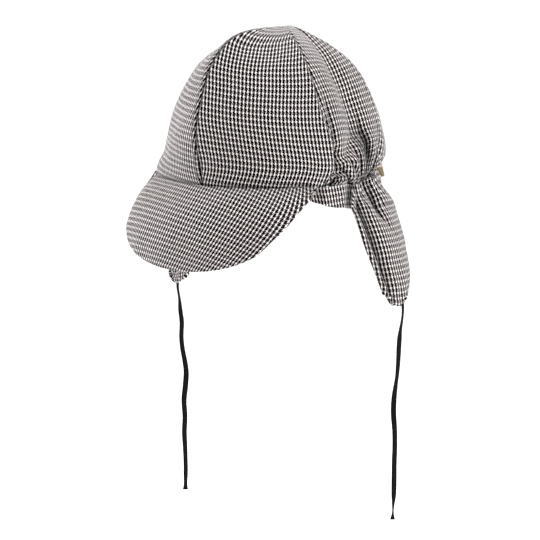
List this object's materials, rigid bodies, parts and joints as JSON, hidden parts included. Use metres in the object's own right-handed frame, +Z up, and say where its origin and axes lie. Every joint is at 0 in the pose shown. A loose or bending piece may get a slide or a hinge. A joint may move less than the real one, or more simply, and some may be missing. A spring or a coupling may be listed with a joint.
{
  "type": "deerstalker hat",
  "caption": "Soft houndstooth cap with a sewn crown of gores, a drooping stiff peak, a narrow rim band and two hanging ear flaps that end in ties.",
  "frame": {"origin": "middle of the head opening, in the plane of the crown's rim, where a head holds the hat", "axes": "+Z up through the top of the crown, -Y towards the tip of the peak, +X towards the wearer's left ear flap"},
  "size_m": [0.2404, 0.2109, 0.3864],
  "materials": {
    "houndstooth_cloth": "matte",
    "black_tape": "matte",
    "brown_tab": "matte"
  },
  "bodies": {
    "root": {"crown_front_left": "houndstooth_cloth", "crown_front_right": "houndstooth_cloth", "crown_side_left": "houndstooth_cloth", "crown_side_right": "houndstooth_cloth", "crown_back_left": "houndstooth_cloth", "crown_back_right": "houndstooth_cloth", "peak": "houndstooth_cloth", "rim_band": "houndstooth_cloth", "ear_flap_left": "houndstooth_cloth", "ear_flap_right": "houndstooth_cloth", "tie_left": "black_tape", "tie_right": "black_tape", "side_tab": "brown_tab"}
  },
  "joints": []
}
